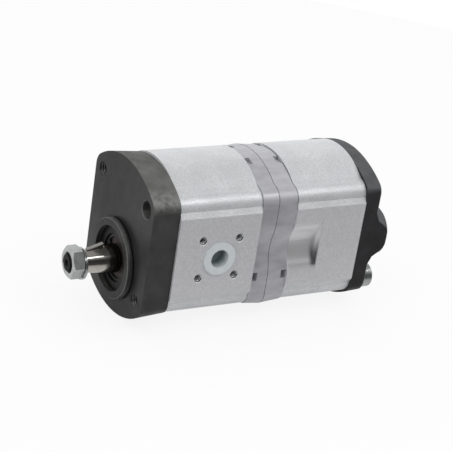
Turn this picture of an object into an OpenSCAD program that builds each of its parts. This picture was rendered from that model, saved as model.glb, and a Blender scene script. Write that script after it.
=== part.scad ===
// Tandem gear pump: two external gear pumps in line on one shaft.
// X runs along the shaft from the tapered end to the rear cover, and Z runs up through both gears.
// The origin is on the drive shaft's axis, in the plane of the mounting face.

/* [Stack along the shaft] */
// Thickness of the front cover, which is also the mounting flange
cover_t = 18.5; // [16:0.5:24]
// Length of one bearing block
block_len = 17.65; // [14:0.05:22]
// Face width of the front pump's gears
front_gear_w = 20; // [16:0.5:26]
// Face width of the rear pump's gears
rear_gear_w = 14.8; // [10:0.2:22]
// Thickness of the plate behind the front pump
front_plate_t = 11.1; // [9.5:0.1:16]
// Thickness of the plate before the rear pump
rear_plate_t = 14; // [12:0.5:18]
// Thickness of the rear cover without its bosses
rear_cover_t = 11.8; // [10:0.2:16]

/* [Gears] */
// Distance between the drive and driven axes
gear_centres = 31; // [30:0.5:33]
// Teeth on each gear
teeth = 12; // [10:1:13]
// Working pressure angle in degrees
pressure_angle = 27.5; // [26:0.5:29]
// Tooth height above the pitch circle
addendum = 2.6; // [2.3:0.05:2.7]
// Gap between a tooth tip and the other gear's root
root_clear = 0.3; // [0.2:0.05:0.5]
// Play between meshing teeth, measured on the pitch circle
backlash = 0.13; // [0.08:0.01:0.2]
// Gap between the tooth tips and the bore
tip_clear = 0.1; // [0.05:0.01:0.2]
// Gap at each side of a gear
side_clear = 0.05; // [0.02:0.01:0.1]

/* [Shafts and bearings] */
// Journal diameter of every shaft
journal_d = 18; // [15:0.5:19]
// Radial running clearance of a journal in its bush
running_gap = 0.03; // [0.01:0.01:0.1]
// Wall of a lined bush
bush_wall = 1.5; // [1:0.25:2]
// Clearance of a bearing block in the body bore
block_gap = 0.04; // [0.02:0.01:0.1]
// Clearance of parts that are pressed or bedded together
fit_gap = 0.01; // [0.005:0.005:0.02]
// Gap between the end of a driven journal and the cover
journal_end_gap = 0.6; // [0.3:0.1:1.5]

/* [Tapered shaft end] */
// Length on which the cone's diameter changes by one
taper = 5; // [4:0.5:10]
// Distance from the mounting face to the cone's large end
cone_start = 3; // [1:0.5:5]
// Length of the cone
cone_len = 19.3; // [17:0.1:22]
// Thread diameter
thread_d = 12; // [10:1:13]
// Distance from the cone's small end to the washer
washer_away = 0.1; // [0.1:0.1:4]
// Thread left standing beyond the nut
thread_over = 0.7; // [0.5:0.1:4]
// Diameter of the centre hole's mouth in the shaft end
centre_hole_d = 4.4; // [3:0.2:6]
// Width of the nut across its flats
nut_sw = 18; // [17:1:22]
// Height of the nut
nut_h = 7.6; // [5:0.2:10]
// Turn of the nut about the shaft in degrees
nut_turn = 0; // [-30:1:30]
// Outer diameter of the spring lock washer
washer_d = 19.8; // [19:0.1:24]
// Thickness of the spring lock washer
washer_t = 1.6; // [1:0.1:3]
// How far the loose washer hangs below the shaft's axis
washer_drop = 1.3; // [0:0.1:1.5]
// Slit in the spring lock washer
washer_slit = 1.2; // [0.6:0.1:2]
// Width of the Woodruff key
key_w = 3; // [2:0.5:4]
// Disc diameter of the Woodruff key
key_d = 13; // [10:0.5:16]
// Height of the Woodruff key
key_h = 5; // [4:0.1:5.6]
// Height of the key's top above the cone
key_stand = 1.6; // [1:0.1:2.2]
// Distance from the cone's small end to the middle of the key
key_away = 7.9; // [6.4:0.1:9]
// Play of the key in its seat
key_gap = 0.02; // [0.01:0.01:0.05]

/* [Coupler] */
// Coupler diameter
coupler_d = 26; // [24:0.5:30]
// Coupler clearance in the plates
coupler_gap = 0.5; // [0.3:0.1:1]
// Width of the shaft tongues
tongue_w = 6; // [4:0.5:8]
// Height of the shaft tongues
tongue_h = 15; // [12:0.5:16]
// Length of a tongue inside the coupler
tongue_in = 5; // [3:0.5:6]
// Play of a tongue in its slot
tongue_gap = 0.05; // [0.02:0.01:0.1]
// Wall between the coupler's chamber and each pump
plate_wall = 3; // [2:0.5:4]
// Gap between the coupler's ends and what they face
coupler_end_gap = 0.7; // [0.3:0.1:1]

/* [Cast outline] */
// Distance between neighbouring corner holes
hole_pitch = 60; // [58:1:62]
// Radius of the round top and bottom of the castings
lobe_r = 50; // [48:0.5:51]
// Distance of the machined side faces beyond the corner holes' centres
side_wall = 10.2; // [9.6:0.1:11]
// How far the castings' sides stand back from the machined side faces
cast_back = 0.2; // [0:0.1:0.5]
// Height of the covers' flat-topped arc above the middle
cover_top = 49.6; // [48.6:0.2:51]
// Radius of the hollow between an ear and the round top
dip_r = 8; // [6:0.5:12]
// Draft of the front cover, lost from edge to edge
front_draft = 1.3; // [0.4:0.1:1.6]
// Draft of the rear cover, lost from edge to edge
cast_draft = 0.7; // [0.2:0.1:1.2]
// Draft of the two plates, lost from edge to edge
plate_draft = 1.1; // [0.5:0.1:1.5]
// Bevel round the back of the rear cover
rim_bevel = 1.2; // [0.5:0.1:2]
// Depth of the waist in the plates' sides
waist_depth = 3; // [2:0.25:4]
// Half the height of that waist
waist_half = 18.6; // [16:0.2:20]
// Radius of the hollow part of the waist
waist_r = 30; // [20:1:34]
// Width of the cast notches at the plates' outer edges
notch_w = 6.5; // [4:0.5:8]
// Length of the cast notches along the shaft
notch_len = 4; // [2.5:0.25:5]
// Depth of the cast notches
notch_depth = 2.6; // [1.5:0.1:3.5]
// Distance of the top and bottom notches from the middle
notch_y = 11.5; // [9:0.5:14]
// Distance of the side notches below the middle
notch_z = 17.7; // [15:0.1:22]

/* [Extruded bodies] */
// Radius of the bodies' round top and bottom
body_lobe_r = 48.5; // [47:0.25:50]
// How far the bodies' corners stand back from the machined side faces
body_back = 2; // [1.2:0.1:2.6]
// Radius of the hollow between a corner and the round top
body_dip_r = 10; // [8:0.5:14]
// Height of the machined side faces
pad_h = 52.4; // [46:0.2:54]
// Height of the slope above and below a side face
pad_run = 3.5; // [2:0.5:5]
// Length of the scoop at the front of the rear body
scoop_len = 20.3; // [14:0.1:26]
// Depth of the scoop
scoop_depth = 5.2; // [4.6:0.1:6]
// Half the height of the scoop
scoop_half = 20; // [18:0.5:23]
// Radius of the hollow part of the scoop
scoop_r = 22; // [16:1:26]
// Radius in the corner where the scoop ends
scoop_end_r = 4.5; // [2:0.5:4.5]

/* [Spigot and shaft seal] */
// Spigot diameter
spigot_d = 50; // [48:0.1:52]
// Spigot height
spigot_h = 4.2; // [3.6:0.1:6]
// Bevel on the spigot's edge
spigot_bevel = 0.5; // [0.2:0.1:1]
// Thickness of the O-ring on the spigot
oring_d = 2; // [1.6:0.1:2.4]
// Height of that O-ring above the spigot
oring_stand = 0.22; // [0.1:0.02:0.4]
// Width of the relief in the mounting face round the spigot
face_relief_w = 0.6; // [0.5:0.1:1.5]
// Depth of that relief
face_relief_t = 0.3; // [0.2:0.1:0.6]
// Play of that O-ring in its groove
oring_gap = 0.02; // [0.01:0.01:0.05]
// Diameter of the recess in the spigot's face
recess_d = 40.6; // [38:0.2:43]
// Depth of that recess
recess_depth = 3.2; // [2:0.1:3.5]
// Outer diameter of the shaft seal
seal_d = 30; // [28:0.5:34]
// Length of the shaft seal
seal_len = 7; // [5:0.5:9]
// Clearance round the shaft at the seal's lip
lip_gap = 0.1; // [0.05:0.01:0.2]
// Clearance of the shaft in the front cover
cover_shaft_gap = 0.6; // [0.4:0.1:1]
// Thickness of the seal's retaining ring
circlip_t = 1.2; // [1:0.1:1.6]
// Depth of the retaining ring's groove
circlip_groove = 0.8; // [0.5:0.1:1]
// Radial width of the retaining ring
circlip_w = 2.8; // [2:0.1:3.4]
// Opening of the retaining ring in degrees
circlip_open = 34; // [24:1:50]

/* [Ports] */
// Diameter of the side pressure port
side_pressure_d = 15; // [12:0.5:17]
// Spacing of the four tapped holes round the side pressure port
side_pressure_pitch = 24.75; // [24:0.25:28]
// Diameter of the side suction port
side_suction_d = 20; // [17:0.5:20]
// Spacing of the four tapped holes round the side suction port
side_suction_pitch = 28.3; // [28:0.1:31]
// Depth of the side suction port's wide part
side_suction_depth = 18; // [12:0.5:19]
// Diameter of the way in behind it
side_suction_in_d = 17; // [14:0.5:17]
// Distance of the side ports behind the middle of the front body
side_port_shift = 1.9; // [-2:0.1:3]
// Distance of the side ports below the middle
side_port_drop = 1.3; // [0:0.1:2]
// Tapping diameter of the ports' screw holes
port_screw_d = 5; // [4.2:0.1:6]
// Depth of the ports' screw holes
port_screw_depth = 13; // [9:0.5:15]
// Bevel at the mouth of the ports' screw holes
port_screw_bevel = 0.5; // [0.2:0.05:0.5]
// Diameter of the rear pressure port
rear_pressure_d = 18.6; // [16:0.2:20]
// Diameter of the rear suction port
rear_suction_d = 24.1; // [20:0.1:24.8]
// Diameter of the rear port bosses under the round of their edge
rear_boss_d = 32.8; // [31:0.2:33.4]
// Draft of the rear port bosses, on the radius
rear_boss_draft = 2.6; // [1:0.2:2.6]
// Height of the rear port bosses
rear_boss_h = 10.3; // [8:0.1:14]
// Radius round the edge of the rear port bosses
rear_boss_round = 3; // [1:0.25:3]
// Flare at the foot of the rear port bosses
rear_boss_foot = 2.2; // [1:0.2:2.2]
// Distance of the rear pressure port from the middle
rear_pressure_y = 25; // [23:0.2:26]
// Distance of the rear suction port from the middle
rear_suction_y = 24; // [23:0.2:25]
// Depth of the rear ports
rear_port_depth = 16; // [14:0.5:17]
// Diameter of the flow channels to the rear ports
channel_d = 9; // [7:0.5:10]
// Distance of the flow channels from the middle
channel_y = 14; // [13:0.5:15]

/* [Port plug] */
// Flange diameter of the plastic plug
plug_flange_d = 21.3; // [19:0.1:23]
// Flange thickness of the plastic plug
plug_flange_t = 1; // [0.8:0.1:1.6]
// Depth of the plug in the port
plug_depth = 9; // [6:0.5:11]
// Clearance of the plug in the port
plug_gap = 0.15; // [0.05:0.05:0.3]
// Wall of the plug's cup
plug_wall = 1.45; // [0.8:0.05:1.8]

/* [Screws, dowels and seals] */
// Diameter of the mounting holes
mount_d = 11; // [10:0.5:12]
// Bevel at the mouth of the mounting holes
mount_bevel = 0.5; // [0.2:0.1:0.8]
// Thread diameter of the case screws
screw_d = 10; // [8:1:10]
// Clearance round the case screws in the bodies and plates
screw_gap = 0.25; // [0.15:0.05:0.4]
// Head diameter of the case screws
screw_head_d = 16; // [15:0.5:17]
// Head height of the case screws
screw_head_h = 7; // [6:0.5:10]
// Hexagon socket of the case screws
screw_socket = 7; // [6:1:8]
// Depth of that socket
screw_socket_depth = 4; // [3:0.5:5]
// Distance of the screws' ends behind the mounting face
screw_end = 4.5; // [3:0.5:7]
// Dowel pin diameter
dowel_d = 5; // [4:0.5:6]
// Dowel pin length
dowel_len = 10; // [8:0.5:12]
// Play at the ends of a dowel pin
dowel_end_gap = 0.2; // [0.1:0.1:0.5]
// Distance of the dowel pins inside the side faces
dowel_in = 11.2; // [10.4:0.2:12.2]
// Distance of the dowel pins from the middle, up and down
dowel_z = 12; // [9:0.5:13]
// Width of the body seals
body_seal_w = 1.7; // [1.4:0.1:2]
// Distance of the body seals from the gear bore
body_seal_away = 2.8; // [2:0.1:3.2]
// Width of the block seals
block_seal_w = 1.5; // [1:0.1:1.6]
// Distance of the block seals from the block's edge
block_seal_in = 0.9; // [0.7:0.1:1]
// Thickness of the flat seals
flat_seal_t = 1.5; // [1:0.1:2]
// Play of the flat seals in their grooves
flat_seal_gap = 0.05; // [0.02:0.01:0.1]
// Distance of the plate seal from the coupler's chamber
plate_seal_away = 2.5; // [1.5:0.5:5]
// Width of the plate seal
plate_seal_w = 2; // [1.5:0.1:3]

/* [Hidden] */
$fn = 96;
over = 1;
// Arcs that run into each other are lapped by this much, which keeps the edges between them clean.
lap = 0.02;

// Places along the shaft
front_body_len = 2 * block_len + front_gear_w + 2 * side_clear;
rear_body_len = 2 * block_len + rear_gear_w + 2 * side_clear;
x_front_body = cover_t;
x_front_plate = x_front_body + front_body_len;
x_rear_plate = x_front_plate + front_plate_t;
x_rear_body = x_rear_plate + rear_plate_t;
x_rear_cover = x_rear_body + rear_body_len;
x_end = x_rear_cover + rear_cover_t;
x_front_gear = x_front_body + block_len + side_clear;
x_rear_gear = x_rear_body + block_len + side_clear;
x_side_port = x_front_body + front_body_len / 2 + side_port_shift;

// Places across the shaft
mid_z = gear_centres / 2;
hole_at = hole_pitch / 2;
ear_r = side_wall - cast_back;
body_ear_r = side_wall - body_back;
pad_w = hole_pitch + 2 * side_wall;
dowel_y = pad_w / 2 - dowel_in;
cast_side = hole_at + ear_r - lap;
body_side = hole_at + body_ear_r - lap;

// Gear sizes
pitch_r = gear_centres / 2;
tip_r = pitch_r + addendum;
root_r = pitch_r - addendum - root_clear;
base_r = pitch_r * cos(pressure_angle);
bore_r = tip_r + tip_clear;
journal_r = journal_d / 2;
bush_in = journal_r + running_gap;
bush_out = bush_in + bush_wall;
driven_turn = 180 / teeth;

// Shaft end
x_cone_end = -cone_start - cone_len;
cone_end_r = journal_r - cone_len / taper / 2;
x_washer_end = x_cone_end - washer_away;
x_washer = x_washer_end - washer_t;
x_key = x_cone_end + key_away;
x_nut = x_washer - nut_h;
x_thread_end = x_nut - thread_over;
thread_r = thread_d / 2;

// Coupler
x_coupler = x_front_plate + plate_wall + coupler_end_gap;
x_coupler_end = x_rear_body - plate_wall - coupler_end_gap;
chamber_r = coupler_d / 2 + coupler_gap;

// Seals and screws
seal_start = circlip_t + 2 * flat_seal_gap + 0.2;
x_seal_face = recess_depth - spigot_h;
groove_w = oring_d + 2 * oring_gap;
groove_r = spigot_d / 2 + oring_stand - oring_d - oring_gap;
body_seal_r = bore_r + body_seal_away;
block_seal_r = bore_r - block_gap - block_seal_in;
plate_seal_r = chamber_r + plate_seal_away;
groove_t = flat_seal_t + flat_seal_gap;
rear_ports = [[-rear_pressure_y, rear_pressure_d / 2], [rear_suction_y, rear_suction_d / 2]];
port_z = mid_z - side_port_drop;
mount_corners = [[-1, 1], [1, -1]];
screw_corners = [[1, 1], [-1, -1]];
dowel_corners = [[1, -1], [-1, 1]];

// Helpers

// Stands a profile drawn in Y and Z at x, and extrudes along the shaft.
module along(x) translate([x, 0, 0]) rotate([90, 0, 90]) children();

// The same, seen from the other end, so that it extrudes towards the front.
module against(x) translate([x, 0, 0]) mirror([1, 0, 0]) rotate([90, 0, 90]) children();

// Turns a profile of [radius, x] points about the shaft axis.
module turned(points) rotate([0, 90, 0]) rotate_extrude() polygon(points);

// A round bar along the shaft with bevels at its ends.
module bar(x0, x1, r, bevel0 = 0, bevel1 = 0) turned([[0, x0], [r - bevel0, x0], [r, x0 + bevel0],
    [r, x1 - bevel1], [r - bevel1, x1], [0, x1]]);

// Places children at a corner hole, counted from the middle of the outline.
module at_corner(c) translate([0, c[0] * hole_at, mid_z + c[1] * hole_at]) children();

// Two circles round the gear axes.
module two_rounds(r) for (z = [0, gear_centres]) translate([0, z]) circle(r = r);

// The outline of two rounds joined by straight sides.
module long_round(r) {
    two_rounds(r);
    translate([-r, 0]) square([2 * r, gear_centres]);
}

// Centre of the circle that rolls into the hollow between the round top and an ear.
function dip_centre(lobe, ear, dip) =
    let (far = hole_at * sqrt(2), d1 = lobe + dip, d2 = ear + dip,
         near = (d1 * d1 - d2 * d2 + far * far) / (2 * far),
         off = sqrt(max(0, d1 * d1 - near * near)))
    [(near - off) / sqrt(2), (near + off) / sqrt(2)];

// The web between the middle, a hollow's centre and the ear in the quarter [y, z].
function web(y, z, dip) = let (a = [y * dip[0], z * dip[1]], b = [y * hole_at, z * hole_at])
    y * z > 0 ? [[0, 0], b, a] : [[0, 0], a, b];

// Draft and bevel as [distance along the shaft, what the outline has lost there].
function draft(h, loss0, loss1, bevel) = bevel == 0 ? [[0, loss0], [h, loss1]] :
    let (near = loss1 - (loss1 - loss0) * bevel / h) [[0, loss0], [h - bevel, near], [h, near + bevel]];
function slope(a, b) = (b[1] - a[1]) / (b[0] - a[0]);

// A drafted plate: round top and bottom, four ears, flat sides. loss0 and loss1 are what the
// outline has lost to draft at its two faces. The far face may have a bevel of 45 degrees.
module casting(h, loss0, loss1, bevel = 0) {
    steps = draft(h, loss0, loss1, bevel);
    last = len(steps) - 1;
    dip = dip_centre(lobe_r, ear_r, dip_r);
    translate([0, mid_z, 0]) intersection() {
        union() {
            drafted_round(lobe_r, steps);
            for (y = [-1, 1], z = [-1, 1]) {
                translate([y * hole_at, z * hole_at, 0]) drafted_round(ear_r, steps);
                difference() {
                    linear_extrude(h) polygon(web(y, z, dip));
                    translate([y * dip[0], z * dip[1], 0]) rotate_extrude() polygon(concat(
                        [[0, -over], [dip_r + lap + loss0 - slope(steps[0], steps[1]) * over, -over]],
                        [for (s = steps) [dip_r + lap + s[1], s[0]]],
                        [[dip_r + lap + steps[last][1] + slope(steps[last - 1], steps[last]) * over, h + over],
                            [0, h + over]]));
                }
            }
        }
        flat_sides(steps, 2 * lobe_r);
    }
}

// A drafted cover: four ears joined by flatter arcs above and below, and flat sides.
module cover_casting(h, loss0, loss1, bevel = 0) {
    steps = draft(h, loss0, loss1, bevel);
    rise = cover_top - hole_at;
    ear = ear_r - lap;
    arc_r = (hole_at * hole_at + rise * rise - ear * ear) / (2 * (rise - ear));
    apex = cover_top - arc_r;
    far = 2 * (hole_at - apex);
    translate([0, mid_z, 0]) intersection() {
        union() {
            for (z = [0, 1]) mirror([0, z, 0]) intersection() {
                translate([0, apex, 0]) drafted_round(arc_r, steps);
                linear_extrude(h) polygon([[0, apex], [2 * hole_at, apex + far], [-2 * hole_at, apex + far]]);
            }
            for (y = [-1, 1], z = [-1, 1]) translate([y * hole_at, z * hole_at, 0]) drafted_round(ear_r, steps);
            translate([-cast_side - over, -hole_at, 0]) cube([2 * (cast_side + over), 2 * hole_at, h]);
        }
        flat_sides(steps, 2 * arc_r);
    }
}

// The space between the drafted flat sides.
module flat_sides(steps, reach) translate([0, reach / 2, 0]) rotate([90, 0, 0]) linear_extrude(reach)
    polygon(concat([for (s = steps) [cast_side - s[1], s[0]]],
        [for (i = [len(steps) - 1:-1:0]) [steps[i][1] - cast_side, steps[i][0]]]));

module drafted_round(r, steps) rotate_extrude() polygon(concat([[0, 0]],
    [for (s = steps) [r - s[1], s[0]]], [[0, steps[len(steps) - 1][0]]]));

// The outline of an extruded body, with its machined side faces.
module body_outline() {
    dip = dip_centre(body_lobe_r, body_ear_r, body_dip_r);
    translate([0, mid_z]) intersection() {
        union() {
            circle(r = body_lobe_r);
            for (y = [-1, 1], z = [-1, 1]) {
                translate([y * hole_at, z * hole_at]) circle(r = body_ear_r);
                difference() {
                    polygon(web(y, z, dip));
                    translate([y * dip[0], z * dip[1]]) circle(r = body_dip_r + lap);
                }
            }
        }
        polygon([for (p = [[body_side, -2 * hole_at], [body_side, -pad_h / 2 - pad_run],
                [pad_w / 2, -pad_h / 2], [pad_w / 2, pad_h / 2], [body_side, pad_h / 2 + pad_run],
                [body_side, 2 * hole_at], [-body_side, 2 * hole_at], [-body_side, pad_h / 2 + pad_run],
                [-pad_w / 2, pad_h / 2], [-pad_w / 2, -pad_h / 2], [-body_side, -pad_h / 2 - pad_run],
                [-body_side, -2 * hole_at]]) p]);
    }
}

// What a waist takes from a side at y = 0: a hollow arc that runs out over two rounded shoulders.
module waist(depth, half, hollow) {
    shoulder = (half * half + depth * depth) / (2 * depth) - hollow;
    meet = half * hollow / (hollow + shoulder);
    translate([hollow - depth, 0]) circle(r = hollow);
    for (s = [-1, 1]) difference() {
        translate([-depth - over, s > 0 ? meet : -half]) square([depth + 3 * over, half - meet]);
        translate([lap - shoulder, s * half]) circle(r = shoulder);
    }
}

// Waists in both sides of a drafted plate.
module plate_waists(h, loss0, loss1) {
    lean = atan((loss1 - loss0) / h);
    for (y = [0, 1]) mirror([y, 0, 0]) translate([cast_side - loss0, mid_z, 0]) rotate([0, -lean, 0])
        translate([0, 0, -over]) linear_extrude(h + 2 * over) waist(waist_depth, waist_half, waist_r);
}

// Cast notches at one face of a plate: two above, two below and one in each side.
module plate_notches(x, loss) {
    for (y = [-1, 1]) {
        for (z = [-1, 1]) translate([x, y * notch_y, mid_z + z * (lobe_r - loss)])
            cube([2 * notch_len, notch_w, 2 * notch_depth], center = true);
        translate([x, y * (cast_side - loss), mid_z - notch_z])
            cube([2 * notch_len, 2 * notch_depth + 2 * waist_depth, notch_w - 1], center = true);
    }
}

// One tooth's flank: half the angle that the tooth covers at radius r.
function involute(r) = let (a = acos(min(1, base_r / max(r, base_r)))) tan(a) - a * PI / 180;
function half_tooth(r) = 90 / teeth - backlash / pitch_r * 90 / PI
    + (tan(pressure_angle) - pressure_angle * PI / 180 - involute(r)) * 180 / PI;
function polar(r, a) = [r * cos(a), r * sin(a)];
flank_steps = 6;
flank = [for (i = [0:flank_steps]) base_r + (tip_r + over / 4 - base_r) * i / flank_steps];
root_round = 0.5;
function tooth(a) = concat(
    [polar(root_r, a - half_tooth(0) - root_round / root_r * 180 / PI),
     polar(root_r + root_round, a - half_tooth(0))],
    [for (r = flank) polar(r, a - half_tooth(r))],
    [for (i = [flank_steps:-1:0]) polar(flank[i], a + half_tooth(flank[i]))],
    [polar(root_r + root_round, a + half_tooth(0)),
     polar(root_r, a + half_tooth(0) + root_round / root_r * 180 / PI)]);

// A gear whose first tooth stands at the angle turn from Y, about the axis at height z.
module gear(x, w, z, turn) along(x) translate([0, z, 0]) intersection() {
    linear_extrude(w) polygon([for (k = [0:teeth - 1]) each tooth(turn + k * 360 / teeth)]);
    cylinder(h = w, r = tip_r);
}

// A shaft tongue, flat in Y or in Z.
module tongue(x0, x1, flat_y) translate([x0, 0, 0]) rotate([flat_y ? 0 : 90, 0, 0])
    translate([0, -tongue_w / 2, -tongue_h / 2]) cube([x1 - x0, tongue_w, tongue_h]);

// The key's disc, let into the cone and tilted with it.
module key_disc(grow) translate([x_key, 0, cone_end_r + key_away / taper / 2 + key_stand])
    rotate([0, -atan(1 / taper / 2), 0]) rotate([90, 0, 0]) translate([0, 0, -key_w / 2 - grow])
    intersection() {
        translate([0, key_d / 2 - key_h, 0]) cylinder(h = key_w + 2 * grow, r = key_d / 2 + grow);
        translate([-key_d, -2 * key_d, 0]) cube([2 * key_d, 2 * key_d, key_w + 2 * grow]);
    }

// Holes that run through the whole stack at the mounting corners, and round the case screws.
module corner_holes(x0, x1) {
    for (c = mount_corners) at_corner(c) bar(x0, x1, mount_d / 2);
    for (c = screw_corners) at_corner(c) bar(x0, x1, screw_d / 2 + screw_gap);
}

module dowel_holes(x0, x1) for (c = dowel_corners)
    translate([0, c[0] * dowel_y, mid_z + c[1] * dowel_z]) bar(x0, x1, dowel_d / 2);

module dowel(x, side) color("silver") translate([0, dowel_corners[side][0] * dowel_y,
    mid_z + dowel_corners[side][1] * dowel_z])
    bar(x - dowel_len / 2, x + dowel_len / 2, dowel_d / 2 - fit_gap, 0.5, 0.5);

// Both ends of a body: seal groove and dowel holes.
module body_ends(x0, x1) {
    depth = dowel_len / 2 + dowel_end_gap;
    for (x = [x0, x1]) {
        dowel_holes(x - depth, x + depth);
        translate([x - groove_t, 0, 0]) along(0) linear_extrude(2 * groove_t) difference() {
            long_round(body_seal_r + body_seal_w + flat_seal_gap);
            long_round(body_seal_r - flat_seal_gap);
        }
    }
}

// Four tapped holes in a side face, with s for the side.
module port_screws(s, pitch) for (dx = [-1, 1], dz = [-1, 1])
    translate([x_side_port + dx * pitch / 2, s * pad_w / 2, port_z + dz * pitch / 2])
    rotate([s * 90, 0, 0]) translate([0, 0, -over]) {
        cylinder(h = port_screw_depth + over, r = port_screw_d / 2, $fn = 48);
        cylinder(h = over + port_screw_bevel, r1 = port_screw_d / 2 + port_screw_bevel + over,
            r2 = port_screw_d / 2, $fn = 48);
    }

// Front cover and its seals

module front_cover() color("dimgray") difference() {
    union() {
        along(0) cover_casting(cover_t, 0, front_draft);
        bar(-spigot_h, over, spigot_d / 2, spigot_bevel);
    }
    turned([[groove_r, -groove_w], [spigot_d / 2 + face_relief_w, -groove_w],
        [spigot_d / 2 + face_relief_w, face_relief_t], [groove_r, face_relief_t]]);
    bar(-spigot_h - over, x_seal_face, recess_d / 2);
    bar(x_seal_face - over, seal_start + seal_len, seal_d / 2);
    bar(0.2, 0.2 + circlip_t + 2 * flat_seal_gap, seal_d / 2 + circlip_groove);
    bar(-over, cover_t + over, journal_r + cover_shaft_gap);
    for (c = mount_corners) at_corner(c) {
        bar(-over, cover_t + over, mount_d / 2);
        turned([[0, -over], [mount_d / 2 + mount_bevel + over, -over], [mount_d / 2, mount_bevel], [0, mount_bevel]]);
    }
    for (c = screw_corners) at_corner(c) bar(-over, cover_t + over, screw_d / 2);
    dowel_holes(cover_t - dowel_len / 2 - dowel_end_gap, cover_t + over);
}

module spigot_oring() color("black") rotate([0, 90, 0]) rotate_extrude()
    translate([spigot_d / 2 + oring_stand - oring_d / 2, -groove_w / 2])
    circle(d = oring_d);

module shaft_seal() color("saddlebrown") turned([
    [journal_r + lip_gap, seal_start], [seal_d / 2 - fit_gap, seal_start],
    [seal_d / 2 - fit_gap, seal_start + seal_len], [seal_d / 2 - 2, seal_start + seal_len],
    [seal_d / 2 - 2, seal_start + 1.8], [journal_r + 2.2, seal_start + 1.8],
    [journal_r + 2.2, seal_start + seal_len - 1.5], [journal_r + 1.2, seal_start + seal_len - 1.5],
    [journal_r + lip_gap, seal_start + seal_len - 2.3], [journal_r + 0.9, seal_start + 2.2],
    [journal_r + 0.9, seal_start + 0.8], [journal_r + lip_gap, seal_start + 0.3]]);

module seal_circlip() color("silver") along(0.2 + flat_seal_gap) rotate(90) {
    ring_r = seal_d / 2 + circlip_groove - 0.1;
    reach = ring_r * 2;
    difference() {
        cylinder(h = circlip_t, r = ring_r);
        translate([0, 0, -over]) cylinder(h = circlip_t + 2 * over, r = ring_r - circlip_w);
        translate([0, 0, -over]) linear_extrude(circlip_t + 2 * over)
            polygon([[0, 0], polar(reach, -90 - circlip_open / 2), polar(reach, -90 + circlip_open / 2)]);
    }
    for (s = [-1, 1]) difference() {
        translate([polar(ring_r - circlip_w, -90 + s * (circlip_open / 2 + 8))[0],
            polar(ring_r - circlip_w, -90 + s * (circlip_open / 2 + 8))[1], 0])
            cylinder(h = circlip_t, r = 2, $fn = 48);
        translate([polar(ring_r - circlip_w, -90 + s * (circlip_open / 2 + 8))[0],
            polar(ring_r - circlip_w, -90 + s * (circlip_open / 2 + 8))[1], -over])
            cylinder(h = circlip_t + 2 * over, r = 0.9, $fn = 48);
    }
}

// Bodies

module front_body() color("lightgray") difference() {
    along(x_front_body) linear_extrude(front_body_len) difference() {
        body_outline();
        two_rounds(bore_r);
    }
    corner_holes(x_front_body - over, x_front_plate + over);
    body_ends(x_front_body, x_front_plate);
    translate([x_side_port, 0, port_z]) {
        rotate([90, 0, 0]) cylinder(h = pad_w, r = side_pressure_d / 2);
        rotate([-90, 0, 0]) cylinder(h = pad_w, r = side_suction_in_d / 2);
        translate([0, pad_w / 2 - side_suction_depth, 0]) rotate([-90, 0, 0])
            cylinder(h = side_suction_depth + over, r = side_suction_d / 2);
    }
    port_screws(-1, side_pressure_pitch);
    port_screws(1, side_suction_pitch);
}

module rear_body() color("lightgray") difference() {
    along(x_rear_body) linear_extrude(rear_body_len) difference() {
        body_outline();
        two_rounds(bore_r);
    }
    corner_holes(x_rear_body - over, x_rear_cover + over);
    body_ends(x_rear_body, x_rear_cover);
    for (y = [-1, 1]) translate([0, y * channel_y, mid_z])
        bar(x_rear_gear - side_clear, x_rear_cover + over, channel_d / 2);
    for (y = [0, 1]) mirror([0, y, 0]) scoop();
}

// The hollow at the front of the rear body's side, with a rounded corner where it ends.
module scoop() intersection() {
    along(x_rear_body - over) translate([pad_w / 2, mid_z, 0]) linear_extrude(scoop_len + over)
        waist(scoop_depth, scoop_half, scoop_r);
    translate([x_rear_body, pad_w / 2, mid_z - scoop_half]) linear_extrude(2 * scoop_half) {
        translate([-over, scoop_end_r - scoop_depth]) square([scoop_len + over, scoop_depth + 2 * over]);
        translate([-over, -scoop_depth - over]) square([scoop_len + over - scoop_end_r, scoop_depth + 2 * over]);
        translate([scoop_len - scoop_end_r, scoop_end_r - scoop_depth]) circle(r = scoop_end_r);
    }
}

// Plates

module front_plate() color("darkgray") difference() {
    along(x_front_plate) difference() {
        casting(front_plate_t, plate_draft, 0);
        plate_waists(front_plate_t, plate_draft, 0);
    }
    plate_notches(x_front_plate, plate_draft);
    corner_holes(x_front_plate - over, x_rear_plate + over);
    dowel_holes(x_front_plate - over, x_front_plate + dowel_len / 2 + dowel_end_gap);
    dowel_holes(x_rear_plate - dowel_len / 2 - dowel_end_gap, x_rear_plate + over);
    bar(x_front_plate - over, x_rear_plate + over, journal_r + cover_shaft_gap);
    bar(x_front_plate + plate_wall, x_rear_plate + over, chamber_r);
    turned([[plate_seal_r - flat_seal_gap, x_rear_plate - groove_t],
        [plate_seal_r + plate_seal_w + flat_seal_gap, x_rear_plate - groove_t],
        [plate_seal_r + plate_seal_w + flat_seal_gap, x_rear_plate + over],
        [plate_seal_r - flat_seal_gap, x_rear_plate + over]]);
}

module rear_plate() color("darkgray") difference() {
    along(x_rear_plate) difference() {
        casting(rear_plate_t, 0, plate_draft);
        plate_waists(rear_plate_t, 0, plate_draft);
    }
    plate_notches(x_rear_body, plate_draft);
    corner_holes(x_rear_plate - over, x_rear_body + over);
    dowel_holes(x_rear_plate - over, x_rear_plate + dowel_len / 2 + dowel_end_gap);
    dowel_holes(x_rear_body - dowel_len / 2 - dowel_end_gap, x_rear_body + over);
    bar(x_rear_plate - over, x_rear_body + over, journal_r + cover_shaft_gap);
    bar(x_rear_plate - over, x_rear_body - plate_wall, chamber_r);
}

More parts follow.
